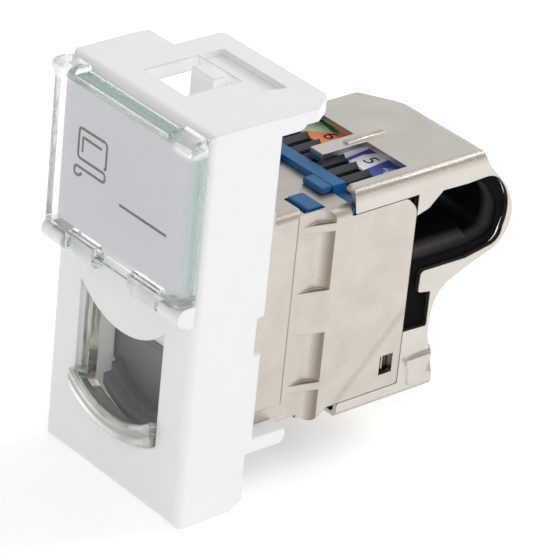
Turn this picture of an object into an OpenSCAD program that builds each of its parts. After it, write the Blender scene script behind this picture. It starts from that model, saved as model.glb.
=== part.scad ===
// Shielded RJ45 socket insert for a modular wall system, one module wide.
// Millimetres. +X is to the right of the face, +Y goes into the wall, +Z is up.
// The origin is the centre of the module on the plane of its front face.

/* [Module] */
// Width of the module
module_w = 22.5; // [21.5:0.1:24]
// Height of the module
module_h = 45; // [44:0.1:48]
// Depth of the moulded block
block_d = 8.5; // [8.5:0.1:9]
// Extra depth of the side walls above the cradle
side_lap = 0.7; // [0.5:0.1:0.9]
// Thickness of the front wall
face_wall = 2; // [1.8:0.1:2.1]
// Thickness of the side and top walls
side_wall = 1.6; // [1.2:0.1:1.7]
// Radius of the outer front edges
edge_r = 0.9; // [0.4:0.1:1.2]

/* [Port opening] */
// Face at each side of the opening
port_side = 4.35; // [4.2:0.05:4.5]
// Height of the top corners of the opening
port_top = -1.5; // [-2:0.1:-1]
// Lowest point of the rounded sill
port_low = -16.8; // [-17:0.1:-16.6]
// Radius of the rounded sill
sill_r = 12.4; // [12:0.1:13]
// Drop of the half-moon below the top corners
moon_drop = 3; // [2.4:0.1:3.4]
// Thickness of the half-moon
moon_t = 1.2; // [0.9:0.1:1.4]

/* [Rear clip] */
// Depth of the top plate behind the face
clip_reach = 16.4; // [15:0.1:17.5]
// Thickness of the top plate
clip_t = 1.5; // [1.2:0.1:1.8]
// Left end of the top plate
clip_left = -7.2; // [-8:0.1:-6.5]
// Length of the lower cradle arms behind the block
arm_len = 5.2; // [4:0.1:5.6]
// Thickness of the cradle arms
arm_t = 1.7; // [1.4:0.1:2]
// Width of the elastic tongue
tongue_w = 3.4; // [2.6:0.1:3.8]
// Thickness of the elastic tongue
tongue_t = 1.5; // [1.1:0.1:1.7]

/* [Label lid] */
// Depth of the lid in front of the face
lid_d = 2.3; // [2.2:0.05:2.6]
// Thickness of the lid's front
lid_face = 0.9; // [0.7:0.05:1]
// Thickness of the lid's skirts
lid_wall = 1.1; // [0.9:0.05:1.3]
// Height of the hinge axis
hinge_z = 2.75; // [2.5:0.05:2.9]
// Radius of the hinge knuckles
knuckle_r = 1; // [0.9:0.02:1.1]
// Length of each hinge knuckle
knuckle_l = 4.5; // [3.4:0.1:5]
// Radius of the hinge studs
stud_r = 0.5; // [0.4:0.02:0.6]
// Gap between each knuckle and its shoulder
knuckle_gap = 0.6; // [0.3:0.1:1]
// Length of the hinge studs in the shoulders
stud_l = 1.5; // [1:0.1:2]
// Radial play of the hinge studs
stud_play = 0.05; // [0.03:0.01:0.08]
// Gap between the lid and the face
lid_gap = 0.15; // [0.1:0.05:0.25]
// Width of each corner tab of the lid
lid_tab_w = 3.7; // [3:0.1:4.5]

/* [Label card] */
// Rim of the bed beside the label card
card_rim = 0.3; // [0.2:0.05:1]
// Edge of the bed above and below the label card
card_edge = 0.1; // [0.05:0.05:1]
// Thickness of the label card
card_t = 0.3; // [0.2:0.05:0.35]
// Height of the raised bed in front of the face
bed_t = 0.9; // [0.7:0.05:1]

/* [Shutter] */
// Lap of the shutter past the opening at each side
shutter_lap = 0.4; // [0.2:0.05:0.5]
// Thickness of the shutter plate
shutter_t = 0.8; // [0.7:0.05:0.9]
// Upper edge of the closed shutter
shutter_top = -8.4; // [-8.6:0.1:-8.2]
// Wire of the shutter springs
spring_wire = 0.3; // [0.25:0.01:0.35]
// Mean radius of the shutter springs
spring_r = 0.9; // [0.85:0.01:0.95]
// Turns of each shutter spring
spring_turns = 7; // [5:1:9]
// Radius of the guide stems
stem_r = 0.5; // [0.4:0.02:0.55]

/* [Metal shell] */
// Gap between the metal shell and the side walls
nose_play = 0.55; // [0.5:0.05:0.6]
// Top of the metal shell
shell_top = 8.3; // [8.2:0.1:8.5]
// Underside of the metal shell
shell_low = -16.2; // [-16.4:0.1:-16.1]
// Wall of the metal shell
shell_wall = 1.5; // [1.3:0.05:1.5]
// Rear end of the side walls
shell_end = 31; // [30.6:0.1:31.4]
// Growth of the collar past the shell
collar_grow = 0.5; // [0.35:0.05:0.55]
// Length of the collar
collar_l = 5; // [4.8:0.1:5.2]
// Height of the collar's top
collar_top = 9.8; // [9.4:0.1:10]
// Depth of the pockets in the sides
pocket_t = 0.95; // [0.6:0.05:1]
// Radius of the ramp at the rear of each pocket
pocket_r = 2.2; // [1.8:0.1:2.6]
// Rear edge of the pockets
pocket_end = 19.8; // [19.6:0.1:20]

/* [Rear hood] */
// Thickness of the hood's sheet
hood_t = 0.6; // [0.5:0.05:0.7]
// Top of the hood
hood_top = 9.95; // [9.8:0.05:10.2]
// Underside of the hood's rail
rail_low = -17.3; // [-17.5:0.05:-17.2]
// Rear edge of the hood's roof
roof_end = 40; // [39:0.1:40.6]
// Rear-most point of the side loops
loop_end = 45; // [44:0.1:46]
// Width of the central tongue in the roof
strap_w = 2; // [1.6:0.1:2.6]
// Front end of the central tongue
strap_front = 24.4; // [24:0.1:25]
// Rear edge of the two roof windows
window_end = 30.4; // [29.8:0.1:31]

/* [Connector] */
// Width of the plug cavity
plug_w = 11.8; // [11.7:0.05:11.9]
// Height of the plug cavity
plug_h = 6.6; // [6.5:0.05:6.8]
// Width of the latch channel
latch_w = 6.4; // [6:0.1:6.6]
// Depth of the latch channel
latch_h = 1.5; // [1.3:0.1:1.6]
// Spacing of the contacts
contact_pitch = 1.02; // [1.01:0.01:1.03]
// Thickness of each contact
contact_t = 0.34; // [0.3:0.01:0.4]
// Length of the sprung end of each contact
contact_l = 7.3; // [6.8:0.1:7.6]
// Drop of the contacts into the plug cavity
contact_sink = 2; // [1.8:0.05:2.1]
// Thickness of the circuit board
board_t = 1.2; // [1:0.1:1.3]
// Width of each wire slot
slot_w = 1; // [0.85:0.05:1.1]
// Thickness of each cutting blade
blade_t = 0.4; // [0.3:0.05:0.5]

/* [Hidden] */
pins = 8;
PINS = [1:pins];

$fn = 48;
eps = 0.01;
seat = 0.1;        // gap of parts that seat on each other
slide = 0.3;       // gap of parts that slide past each other

half_w = module_w / 2;
half_h = module_h / 2;
side_rear = block_d + side_lap;
cavity_half = half_w - side_wall;
port_half = half_w - port_side;
sill_z = port_low + sill_r;                       // centre of the sill's arc
sill_end = sill_z - sqrt(pow(sill_r, 2) - pow(port_half, 2));   // ends of the arc
rebate_y = moon_t - 0.35;                         // front of the liner's rebate

// label lid
hinge_y = -(knuckle_r + 0.15);
lid_low = hinge_z + knuckle_r + 0.3;
lid_top = half_h - 0.8;
lid_high = half_h - 0.1;
shoulder_r = knuckle_r + 0.1;
shoulder_in = half_w - 3.25;                      // inner face of the shoulders
knuckle_out = shoulder_in - knuckle_gap;
bed_low = lid_low + 0.45;
bed_top = lid_top - lid_wall - 0.15;
bed_half = half_w - lid_wall - 0.15;
card_half = bed_half - card_rim;
card_low = bed_low + card_edge;
card_high = bed_top - card_edge;
card_front = -bed_t - 0.1;

// shutter
plate_rear = 6.2;
plate_front = plate_rear - shutter_t;
shelf_front = 2.9;
shelf_step = 4;
shutter_arc_z = -7.5;                             // centre of the shutter's arcs
shutter_low_r = 8.9;
band_high_r = 7.45;
band_low_r = 7.96;
shutter_half = port_half + shutter_lap;
band_half = port_half - 1.1;
boss_x = shutter_half - 1.5;                      // side position of both stems
boss_w = 2;
boss_low = shutter_top + 1.2;
boss_top = shutter_top + 2;
stem_y = 4.8;
stem_top = 7.4;
ledge_low = 5.5;
ledge_t = 1.5;
well_half = shutter_half + 0.2;
well_low = shutter_arc_z - shutter_low_r - seat;
well_rear = plate_rear + 0.1;
rail_in = boss_x + boss_w / 2 + 0.2;

// metal shell
nose_front = well_rear + seat;
nose_wall = 0.8;
shell_half = cavity_half - nose_play;
shell_in = shell_half - shell_wall;
collar_front = side_rear + 0.4;
collar_rear = collar_front + collar_l;
collar_half = shell_half + collar_grow;
collar_low = -12.6;
collar_r = 0.9;                                   // upper corners
collar_edge = 0.7;                                // rear edges
arm_top = -14.4;
arm_in = shell_half - 0.35;
roof_rear = 21.9;                                 // rear edge of the shell's roof
cheek_wall = 0.8;                                 // wall of the sides behind the roof
cheek_in = shell_half - cheek_wall;
cheek_top = 7.1;
cheek_low = -15.4;
floor_t = 0.8;
waist_half = shell_half - pocket_t;                // half-width at the pockets' floors
latch_y = 16.4;
latch_len = 2.8;
latch_x = shell_half - 3.1;
latch_head = 3.2;
nose_low = shell_low - 1.1;

// connector
plug_top = shutter_top - 0.2;
plug_low = plug_top - plug_h;
insert_front = nose_front + nose_wall + seat;
insert_rear = 19.9;
insert_top = -1;
insert_low = shell_low + floor_t + seat;
plug_end = 18.6;
channel_end = 14.6;
board_front = insert_rear + seat;
board_rear = board_front + board_t;
board_top = 6.2;
contact_roof = plug_top + 1.5;

// wire side
frame_front = board_rear + 0.2;
frame_rear = 23.7;
frame_top = 9;
frame_step = 8;
frame_mid = 5.6;                                  // half-width of the frame's high middle
comb_front = frame_rear + seat;
comb_rear = shell_end - 0.05;
comb_teeth_end = 28.3;
comb_top = 8.6;
comb_low = -2;
comb_half = cheek_in - 0.25;
slot_pitch = (2 * comb_half - 0.2) / pins;
slot_floor = 4.5;
label_z = 7.9;
label_t = 0.2;
label_end = 32.2;                                 // rear edge of the comb's upper shelf

// hood
hood_half = shell_half;
hood_in = hood_half - hood_t;
hood_r = 0.9;
strip_front = 22.4;
strip_low = cheek_top + seat;
column_front = shell_end + seat;
rail_front = 22.7;
rail_end = 36.1;
rail_top = cheek_low - seat;
guide_half = hood_in - 0.15;
catch_low = -13.7;
catch_top = -11.4;
catch_x = cheek_in - 0.5;
strap_rib = [28.2, 33.3];                         // both ends of the rib on the roof
boss_t = 0.35;                                    // height of the bosses of the columns
crown_z = 0.4;
crown_r = 18.6;

// ---------- shared shapes ----------

// A box between two opposite corners.
module box(a, b) translate(a) cube(b - a);

// The same shape on both sides.
module both_sides() {
    children();
    mirror([1, 0, 0]) children();
}

// Drawn as [x, y], raised from z0 to z1.
module plan(z0, z1) translate([0, 0, z0]) linear_extrude(z1 - z0) children();

// Drawn as [x, z], running from y0 back to y1.
module front(y0, y1) translate([0, y1, 0]) rotate([90, 0, 0]) linear_extrude(y1 - y0) children();

// Drawn as [y, z], running from x0 to x1.
module side(x0, x1) translate([x0, 0, 0]) rotate([90, 0, 90]) linear_extrude(x1 - x0) children();

// A rectangle between two corners.
module area(a, b) translate(a) square(b - a);

// A rectangle between two corners with true round corners.
module round_area(a, b, r) {
    area([a.x + r, a.y], [b.x - r, b.y]);
    area([a.x, a.y + r], [b.x, b.y - r]);
    for (x = [a.x + r, b.x - r], y = [a.y + r, b.y - r]) translate([x, y]) circle(r);
}

// Points that round the corner p between its neighbours a and b.
function corner(a, p, b, r, n = 6) =
    let (u = (a - p) / norm(a - p), v = (b - p) / norm(b - p),
         half = acos(u * v) / 2,
         reach = r / tan(half),
         mid = p + (u + v) / norm(u + v) * r / sin(half),
         s = p + u * reach - mid, e = p + v * reach - mid)
    [for (i = [0:n]) let (q = s * (n - i) + e * i) mid + q / norm(q) * r];

// A polygon of [x, y, radius] corners; a radius of 0 keeps the corner sharp.
module outline(c) {
    m = len(c);
    polygon([for (i = [0:m - 1])
        let (a = c[(i + m - 1) % m], p = c[i], b = c[(i + 1) % m])
        each p.z == 0 ? [[p.x, p.y]]
            : corner([a.x, a.y], [p.x, p.y], [b.x, b.y], p.z)]);
}

// The front opening: straight sides on a round sill, grown by g.
module port_area(g = 0) {
    half = port_half + g;
    area([-half, sill_z], [half, port_top + g]);
    intersection() {
        translate([0, sill_z]) circle(sill_r + g, $fn = 96);
        area([-half, port_low - g - 1], [half, sill_z + eps]);
    }
}

// The half-moon that closes the top of the opening.
module moon_area() {
    moon_r = (port_half * port_half + moon_drop * moon_drop) / (2 * moon_drop);
    intersection() {
        translate([0, port_top - moon_drop + moon_r]) circle(moon_r, $fn = 96);
        area([-port_half - 0.2, port_top - moon_drop - 1], [port_half + 0.2, port_top + 0.3]);
    }
}

// ---------- moulded front ----------

module block() {
    intersection() {
        plan(-half_h, half_h) {
            area([-half_w + edge_r, 0], [half_w - edge_r, side_rear]);
            area([-half_w, edge_r], [half_w, side_rear]);
            for (x = [-1, 1]) translate([x * (half_w - edge_r), edge_r]) circle(edge_r);
        }
        side(-half_w, half_w) outline([
            [0, -half_h, edge_r], [block_d - 1.5, -half_h, 0.3], [block_d, -half_h + 1, 0.3],
            [block_d, arm_top - arm_t, 0], [side_rear, arm_top - arm_t, 0],
            [side_rear, half_h, 0.2], [0, half_h, edge_r]]);
    }
}

// Round-nosed blocks at both ends of the lid's hinge.
module shoulder() {
    difference() {
        side(shoulder_in, half_w) {
            translate([hinge_y, hinge_z]) circle(shoulder_r);
            area([hinge_y, hinge_z - shoulder_r - 0.25], [eps, hinge_z + shoulder_r]);
        }
        translate([shoulder_in - eps, hinge_y, hinge_z]) rotate([0, 90, 0])
            cylinder(h = stud_l + 0.3, r = stud_r + stud_play);
    }
}

// Plate and wing that hook behind the mounting frame.
module clip_plate() {
    top = half_h - 0.1;
    right = half_w;
    plan(top - clip_t, top) outline([
        [clip_left, side_rear - 1, 0], [right, side_rear - 1, 0], [right, clip_reach - 2.6, 0.5],
        [right - 1.2, clip_reach - 0.7, 0.5], [right - 2.2, clip_reach, 0.4],
        [clip_left, clip_reach, 0.6]]);
    side(right - side_wall, right) outline([
        [side_rear - 1, top - 2, 0], [clip_reach - 4, top - 2, 0.9],
        [clip_reach - 4, top, 0.3], [side_rear - 1, top, 0]]);
    plan(top - 2, top) area([-half_w, side_rear - 1], [clip_left + 1, side_rear + 0.8]);
}

module cradle_arm() {
    side(arm_in, half_w) outline([
        [block_d - 1, arm_top - arm_t, 0], [block_d + arm_len, arm_top - arm_t, 0.8],
        [block_d + arm_len, arm_top, 0.4], [block_d - 1, arm_top, 0]]);
}

// Elastic tongue in the top notch, carried by a web from the front wall.
module tongue() {
    x0 = -2.3;
    web = 11;
    y0 = side_rear - 0.8;
    box([x0, face_wall - eps, web], [x0 + tongue_w, y0 + eps, web + 1.4]);
    side(x0, x0 + tongue_w) outline([
        [y0, web, 0], [y0 + tongue_t, web, 0.4], [y0 + tongue_t, half_h - 1.2, 0],
        [y0 + tongue_t + 0.5, half_h - 1, 0], [y0 + tongue_t, half_h - 0.1, 0.3],
        [y0, half_h - 0.1, 0.3]]);
}

module front_support() color([0.93, 0.93, 0.94]) {
    notch = [[-4, 3.55], [2.8, side_rear + 1.5]];
    difference() {
        union() {
            block();
            both_sides() {
                shoulder();
                cradle_arm();
            }
            clip_plate();
            // raised bed of the label card
            box([-bed_half, -bed_t, bed_low], [bed_half, eps, bed_top]);
        }
        // window for the port, with its rebate for the liner behind the face
        front(-1, moon_t) port_area();
        front(rebate_y, face_wall + 1) port_area(0.75);
        // well of the shutter
        box([-well_half, face_wall, well_low], [well_half, well_rear + eps, ledge_low]);
        // holes of the guide stems in the ledge
        both_sides() translate([boss_x, stem_y, ledge_low - 1])
            cylinder(h = ledge_t + 2, r = stem_r + 0.15);
        // room behind the label, above the ledge
        box([-cavity_half, face_wall, ledge_low + ledge_t],
            [cavity_half, well_rear + eps, half_h - side_wall]);
        // room of the metal nose
        box([-cavity_half, well_rear, nose_low - 0.6],
            [cavity_half, side_rear + 1, half_h - side_wall]);
        // hollow foot
        box([-cavity_half, face_wall, -half_h + side_wall],
            [cavity_half, side_rear, nose_low - 0.6 - side_wall]);
        // notch of the tongue and the slot behind it
        plan(half_h - 5, half_h + 1) area(notch[0], notch[1]);
        plan(half_h - 0.8, half_h + 1) outline([
            [-4, side_rear + 1.6, 0.3], [5.2, side_rear + 1.6, 0.3], [6.2, side_rear + 4.6, 0.3],
            [-4, side_rear + 4.6, 0.3]]);
        // seat of the label card between two low rims
        box([-card_half - 0.05, -2, bed_low - 1],
            [card_half + 0.05, card_front + card_t + 0.02, bed_top + 1]);
        // notches for the tabs of the collar
        both_sides() box([cavity_half - 1, block_d - 0.2, -4.3], [half_w + 1, side_rear + 1, 0.1]);
    }
    front(0, moon_t) moon_area();
    tongue();
    // rails that keep the shutter at the rear of its well
    both_sides() box([rail_in, face_wall + 0.7, well_low - 0.5],
        [well_half + 0.5, plate_front - slide, ledge_low + 0.5]);
}

module label_card() color([0.78, 0.78, 0.8])
    box([-card_half, card_front, card_low], [card_half, card_front + card_t, card_high]);

module lid_corner_tab()
    intersection() {
        front(-lid_d, -lid_gap)
            round_area([half_w - lid_tab_w, lid_top - 1], [half_w, lid_high], 0.5);
        side(0, half_w) outline([
            [-lid_d, lid_top - 1, 0], [-lid_gap, lid_top - 1, 0],
            [-lid_gap, lid_high, 0.2], [-lid_d, lid_high, 0.9]]);
    }

module lid_knuckle() {
    side(knuckle_out - knuckle_l, knuckle_out) {
        translate([hinge_y, hinge_z]) circle(knuckle_r);
        area([hinge_y - knuckle_r, hinge_z], [hinge_y + knuckle_r * 0.6, lid_low + 0.2]);
    }
    translate([knuckle_out - 1, hinge_y, hinge_z]) rotate([0, 90, 0])
        cylinder(h = shoulder_in - knuckle_out + 1 + stud_l, r = stud_r);
}

module label_lid() color([0.8, 0.93, 0.9, 0.45]) {
    difference() {
        intersection() {
            plan(lid_low, lid_top) {
                area([-half_w + edge_r, -lid_d], [half_w - edge_r, -lid_gap]);
                area([-half_w, -lid_d + edge_r], [half_w, -lid_gap]);
                for (x = [-1, 1]) translate([x * (half_w - edge_r), edge_r - lid_d]) circle(edge_r);
            }
            side(-half_w, half_w) outline([
                [-lid_d, lid_low, 0.3], [-lid_gap, lid_low, 0], [-lid_gap, lid_top, 0],
                [-lid_d, lid_top, 0.6]]);
        }
        box([-half_w + lid_wall, lid_face - lid_d, lid_low - 1],
            [half_w - lid_wall, 1, lid_top - lid_wall]);
    }
    // lower lip between the knuckles
    side(knuckle_l + eps - knuckle_out, knuckle_out - knuckle_l - eps) outline([
        [0.3 - lid_d, lid_low - 0.9, 0.25], [lid_face - lid_d + 0.2, lid_low - 0.9, 0.25],
        [lid_face - lid_d + 0.2, lid_low + 0.1, 0], [0.3 - lid_d, lid_low + 0.1, 0]]);
    both_sides() {
        lid_corner_tab();
        lid_knuckle();
    }
}

// Clear liner: two side strips and a scooped sill that bulges out of the face.
module port_liner() color([0.82, 0.93, 0.9, 0.5]) {
    strip_t = 0.5;
    y0 = rebate_y + seat;
    y1 = face_wall + 0.5;
    r_out = sill_r + 0.65;
    r_in = sill_r - 2.6;
    both_sides()
        box([port_half - strip_t, moon_t + seat, sill_end + 0.9], [port_half + 0.6, y1, port_top - 0.1]);
    intersection() {
        translate([0, 0, sill_z]) rotate([90, 0, 0]) rotate_extrude($fn = 120) polygon([
            [r_out, -y1], [sill_r - 0.9, -y1], [r_in, 0.4], [r_in + 0.1, 0.7], [r_in + 0.5, 0.9],
            [r_in + 1.2, 0.9], [sill_r - 0.4, 0.65], [sill_r - 0.08, 0.3], [sill_r - 0.08, -y0],
            [r_out, -y0]]);
        union() {
            box([-port_half + 0.08, -3, port_low - 2], [port_half - 0.08, moon_t, sill_end + 2.7]);
            box([-port_half - 0.6, moon_t - eps, port_low - 2], [port_half + 0.6, y1, sill_end + 4.9]);
        }
    }
}

// ---------- shutter ----------

module arc_band(r_in, r_out, half) {
    difference() {
        intersection() {
            translate([0, shutter_arc_z]) circle(r_out, $fn = 96);
            area([-half, shutter_arc_z - r_out], [half, shutter_arc_z - 3]);
        }
        translate([0, shutter_arc_z]) circle(r_in, $fn = 96);
    }
}

module shutter() color([0.36, 0.36, 0.38]) {
    front(plate_front, plate_rear) intersection() {
        translate([0, shutter_arc_z]) circle(shutter_low_r, $fn = 96);
        area([-shutter_half, shutter_arc_z - shutter_low_r], [shutter_half, shutter_top]);
    }
    front(shelf_step, plate_front + eps) arc_band(band_high_r, shutter_low_r, band_half);
    front(shelf_front, shelf_step + eps) arc_band(band_low_r, shutter_low_r, band_half - 0.15);
    both_sides() {
        box([boss_x - boss_w / 2, plate_front, shutter_top - 0.5],
            [boss_x + boss_w / 2, plate_rear, boss_top]);
        box([boss_x - boss_w / 2, stem_y - stem_r - 0.5, boss_low],
            [boss_x + boss_w / 2, plate_rear, boss_top]);
        translate([boss_x, stem_y, boss_top - 0.2]) cylinder(h = stem_top - boss_top + 0.2, r = stem_r);
    }
}

// One closed tube swept along a helix.
module spring_coil(z0, z1, turns, r, wire) {
    sides = 6;
    steps = 12;
    n = turns * steps;
    ring = [for (k = [0:n]) let (a = 360 * k / steps, z = z0 + (z1 - z0) * k / n)
        for (j = [0:sides - 1]) let (b = 360 * j / sides)
        [(r + wire / 2 * cos(b)) * cos(a), (r + wire / 2 * cos(b)) * sin(a), z + wire / 2 * sin(b)]];
    skin = [for (k = [0:n - 1], j = [0:sides - 1]) let (m = (j + 1) % sides)
        [k * sides + j, (k + 1) * sides + j, (k + 1) * sides + m, k * sides + m]];
    polyhedron(ring, concat(skin, [[for (j = [0:sides - 1]) j]],
        [[for (j = [sides - 1:-1:0]) n * sides + j]]));
}

module shutter_spring(s) color("silver")
    translate([s * boss_x, stem_y, 0])
        spring_coil(boss_top + spring_wire / 2 + 0.05, ledge_low - spring_wire / 2 - 0.05,
                    spring_turns, spring_r, spring_wire);

// ---------- metal shell ----------

module shell_outline()
    outline([
        [nose_front, shell_low, 0.3], [18.3, shell_low, 1], [19.3, shell_low - 0.6, 0.5],
        [21.1, cheek_low, 0.8],
        [shell_end, cheek_low, 0.4], [shell_end, 5.6, 1.8], [29.6, cheek_top, 1.2],
        [roof_rear, cheek_top, 0.2], [roof_rear, shell_top, 0], [nose_front, shell_top, 0.3]]);

// A pocket with a flat floor that sweeps out to the surface at its rear.
module pocket(z0, z1) {
    ramp_y = pocket_end - sqrt(pow(pocket_r, 2) - pow(pocket_r - pocket_t, 2));
    box([waist_half, collar_rear, z0], [shell_half + 1, ramp_y, z1]);
    plan(z0, z1) intersection() {
        translate([waist_half + pocket_r, ramp_y]) circle(pocket_r);
        area([waist_half, ramp_y - eps], [shell_half + 1, pocket_end + eps]);
    }
}

// What narrows the sides behind the collar, so that ribs taper between the pockets.
module waist()
    plan(shell_low - 1, shell_top + 1) polygon([
        [waist_half, collar_rear], [shell_half + 1, collar_rear], [shell_half + 1, pocket_end],
        [shell_half, pocket_end], [waist_half, pocket_end - 3.6]]);

module collar() {
    difference() {
        intersection() {
            front(collar_front, collar_rear) outline([
                [-collar_half, collar_low, 0], [collar_half, collar_low, 0],
                [collar_half, collar_top, collar_r], [-collar_half, collar_top, collar_r]]);
            // rounded rear edges
            plan(collar_low, collar_top) outline([
                [-collar_half, collar_front, 0], [collar_half, collar_front, 0],
                [collar_half, collar_rear, collar_edge], [-collar_half, collar_rear, collar_edge]]);
        }
        box([-shell_in, collar_front - 1, collar_low - 1], [shell_in, collar_rear + 1, shell_top - 1]);
    }
    both_sides() {
        // tabs that key into the side walls
        box([shell_half - 0.3, block_d + 0.1, -4], [collar_half, collar_front + eps, -0.2]);
        side(shell_half - 0.3, collar_half) outline([
            [collar_front, collar_top - 1.5, 0], [collar_front + 1.4, collar_top - 1.5, 0],
            [collar_front + 1.4, collar_top + 1, 0.3], [collar_front, collar_top + 1.3, 0.3]]);
    }
}

module jack_shell() color([0.8, 0.78, 0.74]) difference() {
    union() {
        intersection() {
            side(-shell_half, shell_half) shell_outline();
            front(nose_front, shell_end)
                round_area([-shell_half, shell_low - 1], [shell_half, shell_top], 1.2);
        }
        collar();
        // keel under the latch channel
        front(nose_front, channel_end + 0.9) outline([
            [-latch_w / 2 - 0.9, shell_low + 0.3, 0], [-latch_w / 2 - 0.6, nose_low, 0.4],
            [latch_w / 2 + 0.6, nose_low, 0.4], [latch_w / 2 + 0.9, shell_low + 0.3, 0]]);
    }
    // main cavity
    box([-shell_in, nose_front + nose_wall, shell_low + floor_t],
        [shell_in, board_rear, shell_top - 0.8]);
    // wire side, open at the top and the rear
    box([-cheek_in, board_rear - eps, shell_low + floor_t], [cheek_in, shell_end + 1, shell_top - 0.8]);
    box([-cheek_in, roof_rear, shell_low + floor_t], [cheek_in, shell_end + 1, shell_top + 1]);
    // plug opening and latch channel
    box([-plug_w / 2 - 0.1, nose_front - 1, plug_low - 0.1],
        [plug_w / 2 + 0.1, nose_front + 2, plug_top + 0.1]);
    box([-latch_w / 2 - 0.1, nose_front - 1, plug_low - latch_h],
        [latch_w / 2 + 0.1, channel_end, plug_low]);
    both_sides() {
        waist();
        pocket(6.9, shell_top + 1);
        pocket(-0.9, 6);
        pocket(-11.9, -5.9);
        pocket(shell_low - 1, -12.8);
        // corner that rests on the cradle arm
        box([arm_in - 0.15, nose_front - 1, shell_low - 1],
            [shell_half + 1, collar_rear, arm_top + 0.1]);
        // raised lower edge
        box([shell_in - 0.3, nose_front - 1, shell_low - 1], [shell_half + 1, 17.8, shell_low + 0.4]);
        // catch windows low in the cheeks
        box([cheek_in - 1, 28.2, catch_low], [shell_half + 1, 30, catch_top]);
        // windows of the roof latches
        box([latch_x - latch_head / 2 - 0.2, latch_y, shell_top - 2],
            [latch_x + latch_head / 2 + 0.2, latch_y + latch_len, shell_top + 1]);
    }
}

// ---------- connector ----------

module port_insert() color([0.12, 0.12, 0.13]) difference() {
    box([-shell_in + seat, insert_front, insert_low], [shell_in - seat, insert_rear, insert_top]);
    box([-plug_w / 2, insert_front - 1, plug_low], [plug_w / 2, plug_end, plug_top]);
    box([-latch_w / 2, insert_front - 1, insert_low - 1], [latch_w / 2, channel_end, plug_low + eps]);
    // recess of the contacts, through to the board
    box([contact_x(0.3), insert_front + 1.2, plug_top - 1],
        [contact_x(pins + 0.7), insert_rear + 1, contact_roof]);
}

function contact_x(i) = (i - (pins + 1) / 2) * contact_pitch;

// A spring contact: a run along the roof of the insert and a bent blade that meets the plug.
module contact(i) color([0.85, 0.68, 0.3]) {
    t = 0.32;
    run = contact_roof - 0.05;
    y0 = insert_front + 1.6;
    y1 = y0 + contact_l;
    tip = plug_top - contact_sink;
    side(contact_x(i) - contact_t / 2, contact_x(i) + contact_t / 2) outline([
        [board_front, run, 0], [y0, run, 0.6], [y0, run - 1.2, 0.5],
        [y1 - 0.7, tip, 0.4], [y1, tip + 0.9, 0.1],
        [y1 - 0.3, tip + 1.05, 0.1], [y1 - 0.8, tip + 0.35, 0.3],
        [y0 + t, run - 1, 0.3], [y0 + t, run - t, 0.3], [board_front, run - t, 0]]);
}

module circuit_board() color([0.1, 0.35, 0.22]) difference() {
    box([-shell_in + seat, board_front, shell_low + floor_t + seat],
        [shell_in - seat, board_rear, board_top]);
    for (i = PINS) translate([blade_x(i), board_rear + 1, slot_floor + 0.35]) rotate([90, 0, 0])
        cylinder(h = board_t + 2, r = 0.3, $fn = 16);
}

// ---------- wire side ----------

// Upper end of the frame, drawn for one side out to half.
module frame_head(half) outline([
    [0, cheek_top + seat, 0], [half, cheek_top + seat, 0], [half, frame_step, 0.3],
    [frame_mid + 0.4, frame_step, 0], [frame_mid, frame_top, 0], [0, frame_top, 0]]);

module wire_frame() color([0.13, 0.36, 0.62]) {
    head_low = shell_top - 1.9;
    difference() {
        union() {
            box([-comb_half, frame_front, shell_low + floor_t + seat],
                [comb_half, frame_rear, cheek_top - 0.4]);
            box([-comb_half, roof_rear + seat, cheek_top - 1], [comb_half, frame_rear, frame_step]);
            front(roof_rear + seat, strip_front - 0.2) both_sides()
                frame_head(shell_half - 0.1);
            front(roof_rear + seat, frame_rear) both_sides() frame_head(hood_in - 0.15);
        }
        // window for the blades
        box([-pins / 2 * slot_pitch + 0.2, frame_front - 1, comb_low],
            [pins / 2 * slot_pitch - 0.2, frame_rear + 1, slot_floor + 1.2]);
    }
    // arms with latch heads that rise into the roof windows
    both_sides() {
        box([latch_x - latch_head / 2, latch_y + 0.2, head_low],
            [latch_x + latch_head / 2, frame_front + 1, shell_top - 0.9]);
        side(latch_x - latch_head / 2, latch_x + latch_head / 2) outline([
            [latch_y + 0.2, shell_top - 1, 0], [latch_y + latch_len - 0.2, shell_top - 1, 0],
            [latch_y + latch_len - 0.2, shell_top + 0.2, 0.2], [latch_y + 0.6, shell_top + 0.2, 0.3]]);
    }
}

function blade_x(i) = (i - (pins + 1) / 2) * slot_pitch;

// Comb with a slot for each wire; the ribs between them rise to a ridge.
module wire_comb() color([0.2, 0.24, 0.28]) difference() {
    union() {
        box([-comb_half, comb_front, comb_low], [comb_half, comb_rear, cheek_top - 0.1]);
        box([-comb_half, comb_teeth_end, cheek_top - 0.2], [comb_half, label_end, label_z]);
        front(comb_front, comb_teeth_end + eps) for (k = [0:pins]) {
            x = (k - pins / 2) * slot_pitch;
            w = slot_pitch - slot_w;
            polygon([[max(x - w / 2 - eps, -comb_half), cheek_top - 0.2],
                     [min(x + w / 2 + eps, comb_half), cheek_top - 0.2],
                     [min(x + w / 2 + eps, comb_half), comb_top - 0.6],
                     [x, comb_top],
                     [max(x - w / 2 - eps, -comb_half), comb_top - 0.6]]);
        }
    }
    for (i = PINS) translate([blade_x(i), 0, 0])
        box([-slot_w / 2, comb_front - 1, slot_floor], [slot_w / 2, comb_teeth_end, comb_top + 1]);
}

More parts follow.
